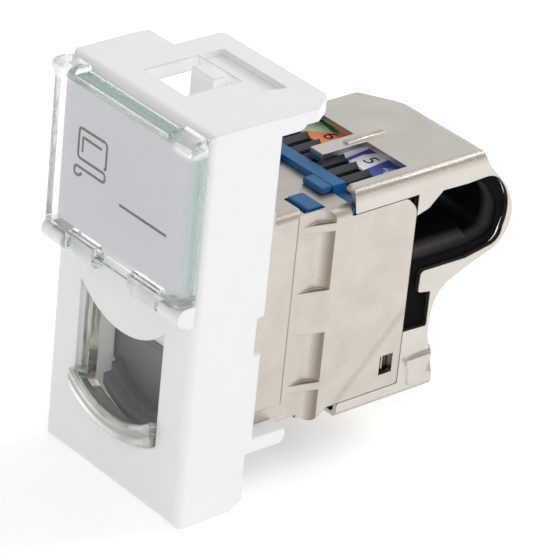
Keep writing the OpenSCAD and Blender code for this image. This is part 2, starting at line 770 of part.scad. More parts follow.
// Fork that cuts through the wire's sleeve, with its lead to the board.
module idc_blade(i) color([0.82, 0.8, 0.72]) {
    y0 = comb_front + 0.8;
    y1 = comb_teeth_end - 0.9;
    mid = (y0 + y1) / 2;
    side(blade_x(i) - blade_t / 2, blade_x(i) + blade_t / 2) difference() {
        union() {
            outline([[y0, slot_floor, 0], [y1, slot_floor, 0.2], [y1, comb_top - 1.3, 0.5],
                     [y0, comb_top - 1.3, 0.5]]);
            area([board_rear - 0.3, slot_floor + 0.15], [y0 + eps, slot_floor + 0.55]);
        }
        polygon([[mid - 0.16, slot_floor + 1], [mid + 0.16, slot_floor + 1],
                 [mid + 0.16, comb_top - 2], [mid + 0.6, comb_top], [mid - 0.6, comb_top],
                 [mid - 0.16, comb_top - 2]]);
    }
}

module pin_label(s) color(s < 0 ? [0.55, 0.78, 0.5] : [0.75, 0.78, 0.92]) {
    x0 = s < 0 ? -comb_half + 0.2 : strap_w / 2 + 0.3;
    x1 = s < 0 ? -strap_w / 2 - 0.3 : comb_half - 0.2;
    box([x0, comb_teeth_end + 0.1, label_z], [x1, label_end - 0.1, label_z + label_t]);
}

// ---------- rear hood ----------

// Side view of the hood's sheet, with the loop round the cable outlet.
module hood_outline() difference() {
    outline([
        [strip_front, strip_low, 0.2], [column_front, strip_low, 0], [column_front, rail_top, 0.2],
        [rail_front, rail_top, 0.2], [rail_front, rail_low, 0.2], [rail_end, rail_low, 0.3],
        [rail_end - 0.1, -15.6, 1], [34.7, -10.5, 6], [35, -4.6, 4.2], [loop_end - 1.4, -3.2, 2.6],
        [loop_end + 0.7, 2.2, 3.4], [loop_end - 3, hood_top - 0.2, 4.2],
        [roof_end - 0.6, hood_top, 0.3], [strip_front - 0.4, hood_top, 0.5]]);
    // cable outlet
    outline([
        [column_front - 1, 4.4, 0], [column_front + 1.6, 5.2, 0.8],
        [column_front + 3.4, strip_low - 0.4, 0.3], [loop_end - 3.6, strip_low - 0.6, 2.4],
        [loop_end - 0.8, 2.6, 2.4], [loop_end - 1.2, -1.6, 1.8], [38.8, -2.5, 0.4],
        [32.7, -2.4, 0.5], [32.6, -4.9, 0.4], [34.4, -5.2, 0.2], [34.4, -9.4, 0.3],
        [column_front - 1, -9.2, 0]]);
}

module rear_hood() color([0.82, 0.8, 0.76]) difference() {
    union() {
        intersection() {
            side(-hood_half, hood_half) hood_outline();
            difference() {
                front(strip_front - 1, loop_end + 1)
                    round_area([-hood_half, rail_low], [hood_half, hood_top], hood_r);
                front(strip_front - 2, loop_end + 2)
                    round_area([-hood_in, rail_low + hood_t], [hood_in, hood_top - hood_t], 0.4);
            }
        }
        // bent tip of the central tongue
        box([-strap_w / 2, strap_front, hood_top - hood_t - 0.5],
            [strap_w / 2, strap_front + 0.4, hood_top - 0.2]);
        // rib behind the central tongue
        translate([0.2, strap_rib[0], hood_top - 0.2]) rotate([-90, 0, 0])
            cylinder(h = strap_rib[1] - strap_rib[0], r = 0.5);
        // half-round bosses pressed out of the columns
        both_sides() intersection() {
            side(hood_half - hood_t / 2, hood_half + boss_t) outline([
                [31.5, -12, 0.2], [35.5, -12, 0.2], [35, -14.6, 3], [33.9, -16.4, 0.6],
                [32.6, -16.4, 0.5], [32.2, -14, 0.8]]);
            front(column_front, rail_end) polygon([
                [hood_half - hood_t / 2, -12], [hood_half, -12.4], [hood_half + boss_t, -12.9],
                [hood_half + boss_t, -16], [hood_half - hood_t / 2, -16.4]]);
        }
        // catches that spring out into the windows of the cheeks
        both_sides() plan(catch_low + 0.3, catch_top - 0.3) outline([
            [catch_x, 28.5, 0], [catch_x + 0.8, 29, 0.1], [catch_x + 0.35, 29.7, 0],
            [catch_x + 0.35, column_front + 0.2, 0], [hood_in + 0.1, column_front + 0.2, 0],
            [hood_in + 0.1, column_front + 1, 0], [catch_x, column_front + 1, 0]]);
    }
    // roof windows at both sides of the central tongue
    both_sides() box([strap_w / 2, strip_front - 2, hood_top - hood_t - 0.05],
        [hood_half - 1.6, window_end, hood_top + 1]);
    box([-strap_w / 2 - eps, strip_front - 2, hood_top - hood_t - 0.7],
        [strap_w / 2 + eps, strap_front, hood_top + 1]);
    // clipped rear corner of the roof
    plan(hood_top - hood_t - 0.1, hood_top + 1)
        polygon([[-hood_half - 1, roof_end - 3.1], [-hood_half + 5, roof_end + 0.1],
                 [-hood_half + 5, loop_end + 2], [-hood_half - 1, loop_end + 2]]);
}

// Black guide that lines the hood behind the comb and turns the cable to either side.
module cable_guide() color([0.06, 0.06, 0.065]) {
    y0 = column_front + 0.1;
    difference() {
        union() {
            side(-guide_half, guide_half) outline([
                [y0, strip_low - 0.8, 0], [label_end + seat, strip_low - 0.8, 0],
                [label_end + seat, hood_top - hood_t - 0.15, 0],
                [roof_end - 0.4, hood_top - hood_t - 0.15, 0.8], [loop_end - 3, hood_top - 1.6, 3.6],
                [loop_end - 0.1, 2.2, 3.2], [loop_end - 2, -2.9, 2.2], [35.4, -4.1, 3.8],
                [34.9, -10.5, 4], [rail_end - 0.7, -15.8, 0.5],
                [rail_end - 0.8, rail_low + hood_t + seat, 0.2],
                [y0, rail_low + hood_t + seat, 0.2]]);
            // foot under the comb
            box([-comb_half, frame_rear + 0.4, shell_low + floor_t + seat],
                [comb_half, y0 + 1, comb_low - 0.3]);
        }
        // channel from side to side, open to the comb
        side(-hood_half, hood_half) outline([
            [y0 - 1, -1.6, 0], [y0 - 1, strip_low - 0.8, 0], [loop_end - 4, strip_low - 0.8, 2.2],
            [loop_end - 1.5, 2.5, 2.2], [loop_end - 1.8, -0.8, 1.6], [39, -1.6, 1.5]]);
        // hollow above the rail
        box([-guide_half + 1, y0 - 8, cheek_low + 1], [guide_half - 1, rail_end - 2.6, -4.6]);
        box([-comb_half - 1, y0 - 0.6, shell_low - 2], [comb_half + 1, y0 + 0.05, cheek_low + 1.02]);
        // grooves for the hood's catches
        both_sides() box([catch_x - 0.1, 28.2, catch_low + 0.2],
            [hood_half, column_front + 1.1, catch_top - 0.2]);
    }
    // crowned floor of the channel
    intersection() {
        translate([0, 0, crown_z - crown_r]) rotate([-90, 0, 0])
            cylinder(h = loop_end, r = crown_r, $fn = 160);
        box([-guide_half, y0 + 0.4, -2], [guide_half, loop_end - 4.6, crown_z]);
    }
}

front_support();
label_card();
label_lid();
port_liner();
shutter();
shutter_spring(-1);  // shutter_spring_left
shutter_spring(1);  // shutter_spring_right
jack_shell();
port_insert();
circuit_board();
wire_frame();
wire_comb();
pin_label(-1);  // pin_label_left
pin_label(1);  // pin_label_right
rear_hood();
cable_guide();
for (i = PINS) {
    contact(i);
    idc_blade(i);
}
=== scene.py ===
import math

import bmesh
import bpy
from mathutils import Matrix, Vector


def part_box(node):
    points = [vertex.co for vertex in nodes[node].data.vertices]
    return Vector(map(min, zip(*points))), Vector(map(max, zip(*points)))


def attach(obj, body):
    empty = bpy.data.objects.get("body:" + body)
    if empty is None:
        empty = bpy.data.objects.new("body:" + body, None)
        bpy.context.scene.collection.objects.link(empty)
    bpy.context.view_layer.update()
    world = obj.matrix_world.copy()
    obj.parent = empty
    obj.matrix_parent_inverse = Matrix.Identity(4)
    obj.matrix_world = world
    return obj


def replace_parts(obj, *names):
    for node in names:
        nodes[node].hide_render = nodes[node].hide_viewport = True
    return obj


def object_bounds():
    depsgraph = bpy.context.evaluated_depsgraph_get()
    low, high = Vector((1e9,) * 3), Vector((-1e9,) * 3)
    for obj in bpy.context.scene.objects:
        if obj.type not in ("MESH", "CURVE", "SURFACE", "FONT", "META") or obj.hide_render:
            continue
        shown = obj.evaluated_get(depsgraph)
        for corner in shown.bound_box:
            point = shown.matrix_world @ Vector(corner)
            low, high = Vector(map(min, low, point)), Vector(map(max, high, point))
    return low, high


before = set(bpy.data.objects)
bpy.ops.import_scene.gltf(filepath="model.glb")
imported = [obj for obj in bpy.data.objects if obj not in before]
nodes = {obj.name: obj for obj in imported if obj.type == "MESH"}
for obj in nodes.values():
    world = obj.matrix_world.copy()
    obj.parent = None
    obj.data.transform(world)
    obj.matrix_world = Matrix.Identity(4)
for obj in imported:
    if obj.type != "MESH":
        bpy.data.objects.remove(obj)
cad_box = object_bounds()

MM = 0.001
WHITE, BLACK = (1, 1, 1), (0, 0, 0)
SKIN_IOR = 1.49                   # of the glossy skin on the clear pieces
SILL_CENTRE = -4.4                # mm, height of the centre of the port's round sill
ONE_CURVE = 99                    # mm, a radius so large that all corners run into one curve


# ---------- node trees ----------

class Value:
    """A number in a finish's node tree: Python's arithmetic adds the Math nodes."""

    def __init__(self, finish, socket):
        self.finish, self.socket = finish, socket

    def math(self, operation, *operands, clamp=False):
        sockets = {f"_{i}": operand for i, operand in enumerate(operands)}
        made = self.finish.node("Math", {"operation": operation, "use_clamp": clamp}, **sockets)
        return Value(self.finish, made.outputs[0])

    def __add__(self, other):
        return self.math("ADD", self, other)

    def __radd__(self, other):
        return self.math("ADD", other, self)

    def __sub__(self, other):
        return self.math("SUBTRACT", self, other)

    def __rsub__(self, other):
        return self.math("SUBTRACT", other, self)

    def __mul__(self, other):
        return self.math("MULTIPLY", self, other)

    def __rmul__(self, other):
        return self.math("MULTIPLY", other, self)

    def __pow__(self, other):
        return self.math("POWER", self, other)

    def __abs__(self):
        return self.math("ABSOLUTE", self)

    def larger(self, other):
        return self.math("MAXIMUM", self, other)

    def smaller(self, other):
        return self.math("MINIMUM", self, other)

    def over(self, limit, soft=0.0):
        """1 above the limit and 0 below it, with a soft step if asked."""
        if not soft:
            return self.math("GREATER_THAN", self, limit)
        return self.math("MULTIPLY_ADD", self, 1 / soft, 0.5 - limit / soft, clamp=True)

    def under(self, limit, soft=0.0):
        """1 below the limit and 0 above it."""
        return 1 - self.over(limit, soft)

    def between(self, low, high, soft=0.0):
        return self.over(low, soft) * self.under(high, soft)


class Finish:
    """A material on Object coordinates, in millimetres, around one Principled shader."""

    def __init__(self, name, **sockets):
        self.material = bpy.data.materials.new(name)
        self.material.use_nodes = True
        self.tree = self.material.node_tree
        self.shader = self.tree.nodes["Principled BSDF"]
        self.output = self.tree.nodes["Material Output"]
        self.set(**sockets)
        own = self.node("TexCoord").outputs
        self.place = self.node("VectorMath", {"operation": "SCALE"}, _0=own["Object"],
                               Scale=1 / MM).outputs[0]
        self.x, self.y, self.z = self.parts(self.place)
        # which way the surface faces: right, rear and up
        self.right, self.rear, self.up = self.parts(own["Normal"])

    def parts(self, vector):
        return [Value(self, s) for s in self.node("SeparateXYZ", _0=vector).outputs]

    def node(self, kind, settings=(), **sockets):
        """Any node: its settings first, then its sockets by name or as _0, _1 by number."""
        made = self.tree.nodes.new("ShaderNode" + kind)
        for name, value in dict(settings).items():
            setattr(made, name, value)
        for name, value in sockets.items():
            key = int(name[1:]) if name[0] == "_" else name.replace("_", " ")
            self.feed(made.inputs[key], value)
        return made

    def feed(self, socket, value):
        if isinstance(value, Value):
            value = value.socket
        if isinstance(value, bpy.types.NodeSocket):
            self.tree.links.new(value, socket)
        else:
            socket.default_value = value

    def set(self, **sockets):
        for name, value in sockets.items():
            self.feed(self.shader.inputs[name.replace("_", " ")], value)

    def noise(self, scale, detail=2.0, rough=0.5, stretch=(1, 1, 1)):
        place = self.node("VectorMath", {"operation": "MULTIPLY"}, _0=self.place, _1=stretch)
        made = self.node("TexNoise", Vector=place.outputs[0], Scale=scale, Detail=detail,
                         Roughness=rough)
        return Value(self, made.outputs[0])

    def specks(self, spacing, size, share):
        """Round specks, one in a share of the cells of a grid of that spacing."""
        cells = self.node("TexVoronoi", {"feature": "F1"}, Vector=self.place, Scale=1 / spacing)
        pick = self.node("SeparateColor", _0=cells.outputs["Color"])
        near = Value(self, cells.outputs["Distance"]).under(size, size)
        return near * Value(self, pick.outputs[0]).over(1 - share)

    def edges(self, radius):
        """The normal that rounds the edges off, and a mask that is 1 on them."""
        samples, gain = 6, 6.0
        soft = self.node("Bevel", {"samples": samples}, Radius=radius * MM).outputs[0]
        flat = self.node("NewGeometry").outputs["Normal"]
        dot = self.node("VectorMath", {"operation": "DOT_PRODUCT"}, _0=soft, _1=flat)
        turned = 1 - Value(self, dot.outputs["Value"])
        return soft, (turned * gain).smaller(1)

    def mix(self, factor, low, high):
        """One colour for 0 and another for 1."""
        rgba = [c if isinstance(c, bpy.types.NodeSocket) else (*c, 1) for c in (low, high)]
        made = self.node("Mix", {"data_type": "RGBA"}, _0=factor, _6=rgba[0], _7=rgba[1])
        return made.outputs[2]

    def bump(self, height, normal=None):
        """Relief given in millimetres."""
        made = self.node("Bump", Height=height, Distance=MM)
        if normal is not None:
            self.feed(made.inputs["Normal"], normal)
        self.set(Normal=made.outputs[0])

    def glow(self, light, colour, strength):
        """A little light of its own, where the mask is 1."""
        self.set(Emission_Color=self.mix(light, BLACK, colour), Emission_Strength=strength)


def shade(colour, factor, lift=0.0):
    return tuple(c * factor + lift for c in colour)


# ---------- finishes ----------
# A span is (low, high) or (low, high, softness), in millimetres.

def painted_glow_in_port_and_notch(f):
    """A painted glow in the port and in the top notch, standing in for light that the front's
    thin walls let through.
    """
    port_sides, port_depth, port_top = (-8.6, 8.6, 0.3), (0.4, 7, 0.4), -2
    notch_sides, notch_depth, notch_rise = (-4.8, 3.8, 0.2), (3.2, 11.4, 0.3), (10, 22.3, 0.1)
    port_share, notch_share = 0.45, 0.8
    port = f.x.between(*port_sides) * f.y.between(*port_depth) * f.z.under(port_top, 2)
    notch = f.x.between(*notch_sides) * f.y.between(*notch_depth) * f.z.between(*notch_rise)
    return port * port_share + notch * f.up.under(0.6, 0.2) * notch_share


def moulded(name, colour, rough, edge=0.2, grain=0.0016, mottle=0.03, dust=0.0, glow=0.0,
            **sockets):
    """Injection-moulded plastic: a fine grain, slight sinks and softly rounded edges."""
    f = Finish(name, **sockets)
    normal, rim = f.edges(edge)
    cloud = f.noise(0.35, detail=3)
    grit = f.noise(7, detail=2)
    sinks = f.noise(0.12, detail=1)
    dust_grey, dust_spacing, dust_size, dust_share = (0.6, 0.6, 0.6), 1.4, 0.05, 0.3
    tone = f.mix(cloud.over(0.5, 0.5), shade(colour, 1 - mottle), shade(colour, 1 + mottle))
    # painted highlight: the rounded edges are made a little lighter
    tone = f.mix(rim * 0.25, tone, shade(colour, 1.12, 0.01))
    # a painted glow in the port and the top notch, if asked for
    if glow:
        f.glow(painted_glow_in_port_and_notch(f), WHITE, glow)
    if dust:
        tone = f.mix(f.specks(dust_spacing, dust_size, dust_share) * dust, tone, dust_grey)
    f.set(Base_Color=tone, Roughness=cloud * 0.08 + grit * 0.06 + (rough - 0.07))
    f.bump(grit * grain + sinks * 0.03, normal)
    return f.material


def clear_plastic(name, ior, density, tint):
    """Clear moulded plastic with a glossy skin, tinted where it is thick."""
    f = Finish(name, IOR=ior, Transmission_Weight=1.0, Coat_IOR=SKIN_IOR, Coat_Roughness=0.03)
    normal, rim = f.edges(0.12)
    cloud = f.noise(0.8, detail=2)
    flow = f.noise(0.2, detail=1)
    f.set(Roughness=cloud * 0.03 + rim * 0.02 + 0.012, Coat_Weight=cloud * 0.2 + 0.7)
    f.bump(cloud * 0.004 + flow * 0.02, normal)
    inside = f.node("VolumeAbsorption", Color=(*tint, 1), Density=density)
    f.tree.links.new(inside.outputs[0], f.output.inputs["Volume"])
    return f


def clear_lid():
    """The lid: the inner faces of its right and top walls show the plastic's green."""
    f = clear_plastic("clear_lid", ior=1.22, density=18, tint=(0.22, 0.84, 0.70))
    edge_green, stud_painted_reflection = (0.56, 0.84, 0.775), 0.4
    side_wall, top_wall, face_back, stud_side, stud_foot = 8, 19, -0.8, 8.6, 20.5
    streak = f.noise(0.5, detail=3)
    side = (f.right * -1).over(0.5, 0.2) * f.x.over(side_wall, 0.5) * f.y.over(face_back, 0.3)
    top = (f.up * -1).over(0.5, 0.2) * f.z.over(top_wall, 0.5)
    # painted reflection: the studs at the top corners get a share of a metal's mirror
    studs = abs(f.x).over(stud_side, 0.8) * f.z.over(stud_foot, 0.5)
    f.set(Base_Color=f.mix(side.larger(top) * (streak + 0.35), WHITE, edge_green),
          Metallic=studs * stud_painted_reflection)
    return f.material


def clear_liner():
    """The liner: painted silvery highlights run down its strips and round the scoop of its sill.
    """
    f = clear_plastic("clear_liner", ior=1.3, density=12, tint=(0.5, 0.82, 0.68))
    greenish, highlight_silver = (0.84, 0.88, 0.82), (1.0, 0.98, 0.92)
    sill_rim, sill_scoop, sill_top = (11.2, 12.0, 0.5), (8.9, 10.6, 0.8), -9
    from_centre = (f.x ** 2 + (f.z - SILL_CENTRE) ** 2) ** 0.5
    sill = f.z.under(sill_top, 2)
    # painted highlights: bright rings round the sill and streaks down the strips, made partly
    # metallic as well
    rings = from_centre.between(*sill_rim) + from_centre.between(*sill_scoop) * 0.8
    streaks = f.noise(2.2, detail=2, stretch=(1, 1, 0.06)).over(0.5, 0.25)
    patch = f.noise(0.35, detail=2).over(0.48, 0.3)
    left = f.x.under(-1.5, 5)
    painted_highlight = rings * sill * (patch * 0.5 + left * 0.7 + 0.1) + sill * 0.15 + streaks * (1 - sill)
    f.set(Base_Color=f.mix(painted_highlight, greenish, highlight_silver), Metallic=painted_highlight * 0.7 + 0.08)
    return f.material


def cast_nickel():
    """Nickel on a zinc die casting: satin and pitted, with painted brown shade where it sweeps in
    or rounds off.
    """
    f = Finish("cast_nickel", Metallic=1.0)
    dull, fair, edge_highlight = (0.555, 0.508, 0.455), (0.635, 0.588, 0.535), (0.80, 0.76, 0.70)
    shade_brown, pit_brown, band_grey = (0.235, 0.19, 0.148), (0.22, 0.18, 0.15), (0.42, 0.375, 0.33)
    nose_light = (0.9, 0.88, 0.8)
    throat, nose_back, ledge_height = 15, 7, 7.4
    normal, rim = f.edges(0.2)
    cloud = f.noise(0.3, detail=4, rough=0.6)
    grit = f.noise(5, detail=3, rough=0.6)
    pits = f.specks(0.9, 0.10, 0.16) + f.specks(0.42, 0.08, 0.08)
    tone = f.mix(cloud.over(0.5, 0.4), dull, fair)
    # painted highlight: the edges are made lighter
    tone = f.mix(rim * 0.25, tone, edge_highlight)
    # painted brown shade on ramps that face the front, edges that face the rear, bends at the
    # roof and ledges in the sides
    ramp = (-1 * f.rear).over(0.5, 0.45) * f.y.over(throat, 1)
    edge = f.rear.over(0.32, 0.4)
    bend = (f.right * f.up).over(0.3, 0.35)
    ledge = f.up.over(0.5, 0.4) * f.z.under(ledge_height, 0.4)
    shadow = ramp.larger(edge).larger(bend * 0.55).larger(ledge * 0.8)
    tone = f.mix(shadow * (grit * 0.3 + 0.75), tone, shade_brown)
    tone = f.mix(pits * 0.75, tone, pit_brown)
    # a darker grey band, with a little relief, that runs up to the rear over the cheeks
    band_slope, band_span, cheeks = 1.03, (-38.65, -37.35, 0.25), (22, 31, 0.8)
    band = (f.z - f.y * band_slope + cloud * 0.5).between(*band_span)
    diagonal_band = band * f.y.between(*cheeks) * (grit * 1.6 - 0.2)
    tone = f.mix(diagonal_band * 0.5, tone, band_grey)
    f.set(Base_Color=tone, Roughness=cloud * 0.12 + grit * 0.10 + 0.26 + diagonal_band * 0.1)
    # a painted glow on the nose's front face, which shows through the port
    f.glow((-1 * f.rear).over(0.8, 0.1) * f.y.under(nose_back, 0.3), nose_light, 0.5)
    f.bump(grit * 0.006 - pits * 0.03 + cloud * 0.05 + diagonal_band * 0.01, normal)
    return f.material


def nickel_sheet():
    """Nickel-plated sheet: finely rolled, with a grainy painted brown shade at its long bends."""
    f = Finish("nickel_sheet", Metallic=1.0)
    dull, fair, edge_highlight = (0.60, 0.56, 0.51), (0.68, 0.64, 0.59), (0.84, 0.81, 0.76)
    bend_shade_brown, nick_brown = (0.29, 0.245, 0.20), (0.3, 0.27, 0.24)
    roof_side, roof_foot = 8.55, 8.9
    normal, rim = f.edges(0.12)
    cloud = f.noise(0.22, detail=3)
    rolled = f.noise(3.2, detail=3, stretch=(0.25, 2.2, 2.2))
    grit = f.noise(9, detail=2)
    grain = f.noise(4, detail=3, rough=0.7)
    nicks = f.specks(1.3, 0.06, 0.12)
    tone = f.mix(cloud.over(0.5, 0.5), dull, fair)
    tone = f.mix(rim * 0.12, tone, edge_highlight)
    # painted shade, brown and grainy: on the bends between roof and sides, found by the way they
    # face, and on the roof's outer strip
    corner = abs(f.x).over(roof_side, 0.5) * f.z.over(roof_foot, 0.9)
    bend = corner.larger((abs(f.right) * abs(f.up)).over(0.27, 0.3))
    tone = f.mix(bend * (grain * 1.3 - 0.05), tone, bend_shade_brown)
    tone = f.mix(nicks * 0.5, tone, nick_brown)
    f.set(Base_Color=tone, Roughness=cloud * 0.08 + rolled * 0.08 + grit * 0.05 + 0.22)
    f.bump(rolled * 0.0025 + grit * 0.0015 + cloud * 0.03 - nicks * 0.01 + bend * grain * 0.02,
           normal)
    return f.material


def gloss_black():
    """Polished black guide, with a painted soft sheen where the cable turns out of the channel.
    """
    f = Finish("gloss_black", Coat_Roughness=0.08, Specular_IOR_Level=0.22)
    jet, black, painted_sheen = (0.003, 0.003, 0.003), (0.009, 0.008, 0.008), (0.11, 0.10, 0.09)
    mouth_black, lint_grey = (0.001, 0.001, 0.001), (0.3, 0.3, 0.3)
    mouth_side, outlet_sides, outlet_rise = 7.75, (6.4, 7.6, 1.1), (-2.2, 5, 0.5)
    normal, rim = f.edges(0.25)
    cloud = f.noise(0.25, detail=3)
    flow = f.noise(1.2, detail=3, stretch=(0.12, 1, 1))
    grit = f.noise(8)
    lint = f.specks(1.6, 0.04, 0.25)
    mouth = abs(f.x).over(mouth_side, 0.2)
    outlet = abs(f.x).between(*outlet_sides) * f.z.between(*outlet_rise)
    sweep = f.up.larger(f.rear * -1.15).over(0.72, 0.4)
    tone = f.mix(cloud, jet, black)
    tone = f.mix(mouth, tone, mouth_black)
    # painted sheen: a soft lighter streak by the outlets, where the floor faces up or to the
    # front
    tone = f.mix(outlet * sweep * (flow * 0.5 + 0.6), tone, painted_sheen)
    tone = f.mix(lint * 0.15, tone, lint_grey)
    f.set(Base_Color=tone, Roughness=flow * 0.08 + 0.26 + rim * 0.9 + mouth * 0.7,
          Coat_Weight=cloud * 0.1 * (1 - mouth))
    f.bump(flow * 0.004 + grit * 0.001, normal)
    return f.material


def plated(name, colour, rough):
    """Thin stamped metal: contacts, blades and springs."""
    f = Finish(name, Metallic=1.0)
    normal, rim = f.edges(0.05)
    drawn = f.noise(4, detail=2, stretch=(0.3, 1, 1))
    tone = f.mix(drawn, shade(colour, 0.85), colour)
    # painted highlight: the edges are made lighter
    tone = f.mix(rim * 0.4, tone, tuple(min(1, c) for c in shade(colour, 1.2)))
    f.set(Base_Color=tone, Roughness=drawn * 0.12 + rough)
    f.bump(drawn * 0.002, normal)
    return f.material


def board_laminate():
    """Green solder mask over a woven laminate."""
    f = Finish("board_laminate", Coat_Roughness=0.2)
    dark_green, green = (0.02, 0.13, 0.06), (0.04, 0.22, 0.11)
    warp = f.noise(2.4, detail=2, stretch=(1, 1, 0.4))
    weft = f.noise(2.4, detail=2, stretch=(0.4, 1, 1))
    weave = warp * weft
    f.set(Base_Color=f.mix(weave.over(0.25, 0.3), dark_green, green),
          Roughness=weave * 0.2 + 0.3, Coat_Weight=weave * 0.2 + 0.4)
    f.bump(weave * 0.004)
    return f.material


def printed_card():
    """Light grey card with a faint fibre."""
    f = Finish("printed_card")
    grey, light_grey = (0.81, 0.79, 0.835), (0.87, 0.845, 0.893)
    fibre = f.noise(1.8, detail=4, rough=0.6, stretch=(1, 1, 2.5))
    cloud = f.noise(0.15, detail=2)
    f.set(Base_Color=f.mix(fibre * 0.5 + cloud * 0.5, grey, light_grey),
          Roughness=fibre * 0.15 + 0.5)
    f.bump(fibre * 0.003)
    return f.material


def ink(name, colour):
    """Printed ink that thins a little over the stock's fibre."""
    f = Finish(name)
    fibre = f.noise(6, detail=3)
    f.set(Base_Color=f.mix(fibre.over(0.62, 0.2) * 0.3, colour, shade(colour, 1.6)),
          Roughness=fibre * 0.2 + 0.4)
    f.bump(fibre * 0.001)
    return f.material


def label_stock(f, tone, paleness, glow):
    """Satin label stock under its print, a little pale along its fibres."""
    fibre = f.noise(5, detail=2)
    # a painted glow in the label's own colour lifts it out of the hood's shade
    f.set(Base_Color=f.mix(fibre * paleness, tone, (0.9, 0.9, 0.9)),
          Roughness=fibre * 0.2 + 0.35, Emission_Color=tone, Emission_Strength=glow)
    f.bump(fibre * 0.001)
    return f.material


def label_left():
    """Wiring label of the left window: an orange cell, a light green one and a dark green bar."""
    f = Finish("label_left")
    orange, mint, green = (0.95, 0.26, 0.09), (0.50, 0.76, 0.48), (0.02, 0.17, 0.035)
    split_slope, bar_slope, bar_span = 1.25, -0.19, (-0.95, -0.2, 0.08)
    upper = (f.y - 28.9 - (f.x + 6.8) * split_slope).over(0, 0.06)
    bar = (f.y - 32.5 - (f.x + 7.2) * bar_slope).between(*bar_span)
    tone = f.mix(bar * upper, f.mix(upper, orange, mint), green)
    return label_stock(f, tone, paleness=0.15, glow=0.12)


def label_right():
    """Wiring label of the right window: white and violet cells, split slantwise."""
    f = Finish("label_right")
    violet, white = (0.055, 0.075, 0.36), (0.86, 0.88, 0.97)
    # the bounds of the white cell and the wedge beside it lean to the left as they go back
    lean_slope, wedge_slope, cell_span, side_cell_end = 0.12, 0.42, (0.75, 3.15, 0.05), 0.15
    lean = f.x + (f.y - 28.8) * lean_slope
    wedge = (lean - (f.y - 29.1) * wedge_slope).over(0.1, 0.05)
    pale = (lean.between(*cell_span) * wedge).larger(lean.under(side_cell_end, 0.05))
    return label_stock(f, f.mix(pale, violet, white), paleness=0.1, glow=0.16)


# ---------- meshes ----------

def settled(shape, name):
    """The mesh of a bmesh, which is freed."""
    mesh = bpy.data.meshes.new(name)
    shape.to_mesh(mesh)
    shape.free()
    return mesh


def applied(data, *modifiers):
    """The mesh of a curve, a text or a mesh, with modifiers applied: a kind and settings each."""
    maker = bpy.data.objects.new("maker", data)
    bpy.context.scene.collection.objects.link(maker)
    for kind, settings in modifiers:
        modifier = maker.modifiers.new(kind, kind)
        for name, value in settings.items():
            setattr(modifier, name, value)
    bpy.context.view_layer.update()
    result = maker.evaluated_get(bpy.context.evaluated_depsgraph_get())
    mesh = bpy.data.meshes.new_from_object(result)
    bpy.data.objects.remove(maker)
    return mesh


def finished(name, mesh, material):
    """Links a finished mesh, which already has its place, as a piece of the module."""
    mesh.name = name
    mesh.materials.clear()
    mesh.materials.append(material)
    piece = bpy.data.objects.new(name, mesh)
    bpy.context.scene.collection.objects.link(piece)
    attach(piece, "module")
    return piece


def block(shape, low, high):
    """Adds a block between two opposite corners."""
    turn = Matrix.Translation((low + high) / 2) @ Matrix.Diagonal((*(high - low), 1))
    made = bmesh.ops.create_cube(shape, size=1)
    bmesh.ops.transform(shape, verts=made["verts"], matrix=turn)


def prism(outline, low, high, upright=False):
    """A cutting prism over (Y, Z) points, from side to side, or over (X, Y) points, upright."""
    reach = high - low
    solid = bmesh.new()
    places = [(a, b, low) if upright else (low, a, b) for a, b in outline]
    end = solid.faces.new([solid.verts.new(Vector(place) * MM) for place in places])
    grown = bmesh.ops.extrude_face_region(solid, geom=[end])["geom"]
    bmesh.ops.translate(solid, verts=[v for v in grown if isinstance(v, bmesh.types.BMVert)],
                        vec=Vector((0, 0, reach) if upright else (reach, 0, 0)) * MM)
    bmesh.ops.recalc_face_normals(solid, faces=solid.faces)
    return settled(solid, "prism")


def rounded_path(corners, radius, steps=6):
    """Points of a path in the plane, its corners rounded as far as its sides allow."""
    corners = [Vector(p) for p in corners]
    out = corners[:1]
    for a, p, b in zip(corners, corners[1:], corners[2:]):
        u, v = (a - p).normalized(), (b - p).normalized()
        reach = min(radius / math.tan(u.angle(v) / 2), (a - p).length / 2, (b - p).length / 2)
        start, end = p + u * reach, p + v * reach
        for t in (k / steps for k in range(steps + 1)):
            out.append(start.lerp(p, t).lerp(p.lerp(end, t), t))
    return out + corners[-1:]


# ---------- print on the card and the labels ----------

def stroke(curve, points):
    """A line of the drawing through (X, Z) points."""
    spline = curve.splines.new("POLY")
    spline.points.add(len(points) - 1)
    for point, (x, z) in zip(spline.points, points):
        point.co = (x * MM, 0, z * MM, 1)


def card_print(material):
    """A screen and its base drawn in one line, and a rule to write on."""
    line_width, flatness = 0.33, 0.06
    curve = bpy.data.curves.new("card_print", "CURVE")
    curve.dimensions, curve.use_fill_caps = "3D", True
    curve.bevel_depth, curve.bevel_resolution = line_width / 2 * MM, 2
    screen_and_base = [(-3.05, 13.05), (-2.75, 13.0), (-2.75, 15.95), (-7.28, 15.9),
                       (-7.28, 12.55), (-2.78, 12.55), (-2.78, 11.5), (-7.7, 11.55),
                       (-7.7, 10.5), (-6.9, 10.6), (-6.45, 11.0)]
    inner_corner = [(-6.62, 13.35), (-6.62, 15.0), (-3.55, 14.95)]
    rule = [(-0.2, 10.3), (7.4, 10.3)]
    stroke(curve, rounded_path(screen_and_base, 0.5))
    stroke(curve, rounded_path(inner_corner, 0.2))
    stroke(curve, rule)
    card_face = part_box("label_card")[0].y
    mesh = applied(curve)
    mesh.transform(Matrix.Translation((0, card_face, 0)) @ Matrix.Diagonal((1, flatness, 1, 1)))
    finished("card_print", mesh, material)


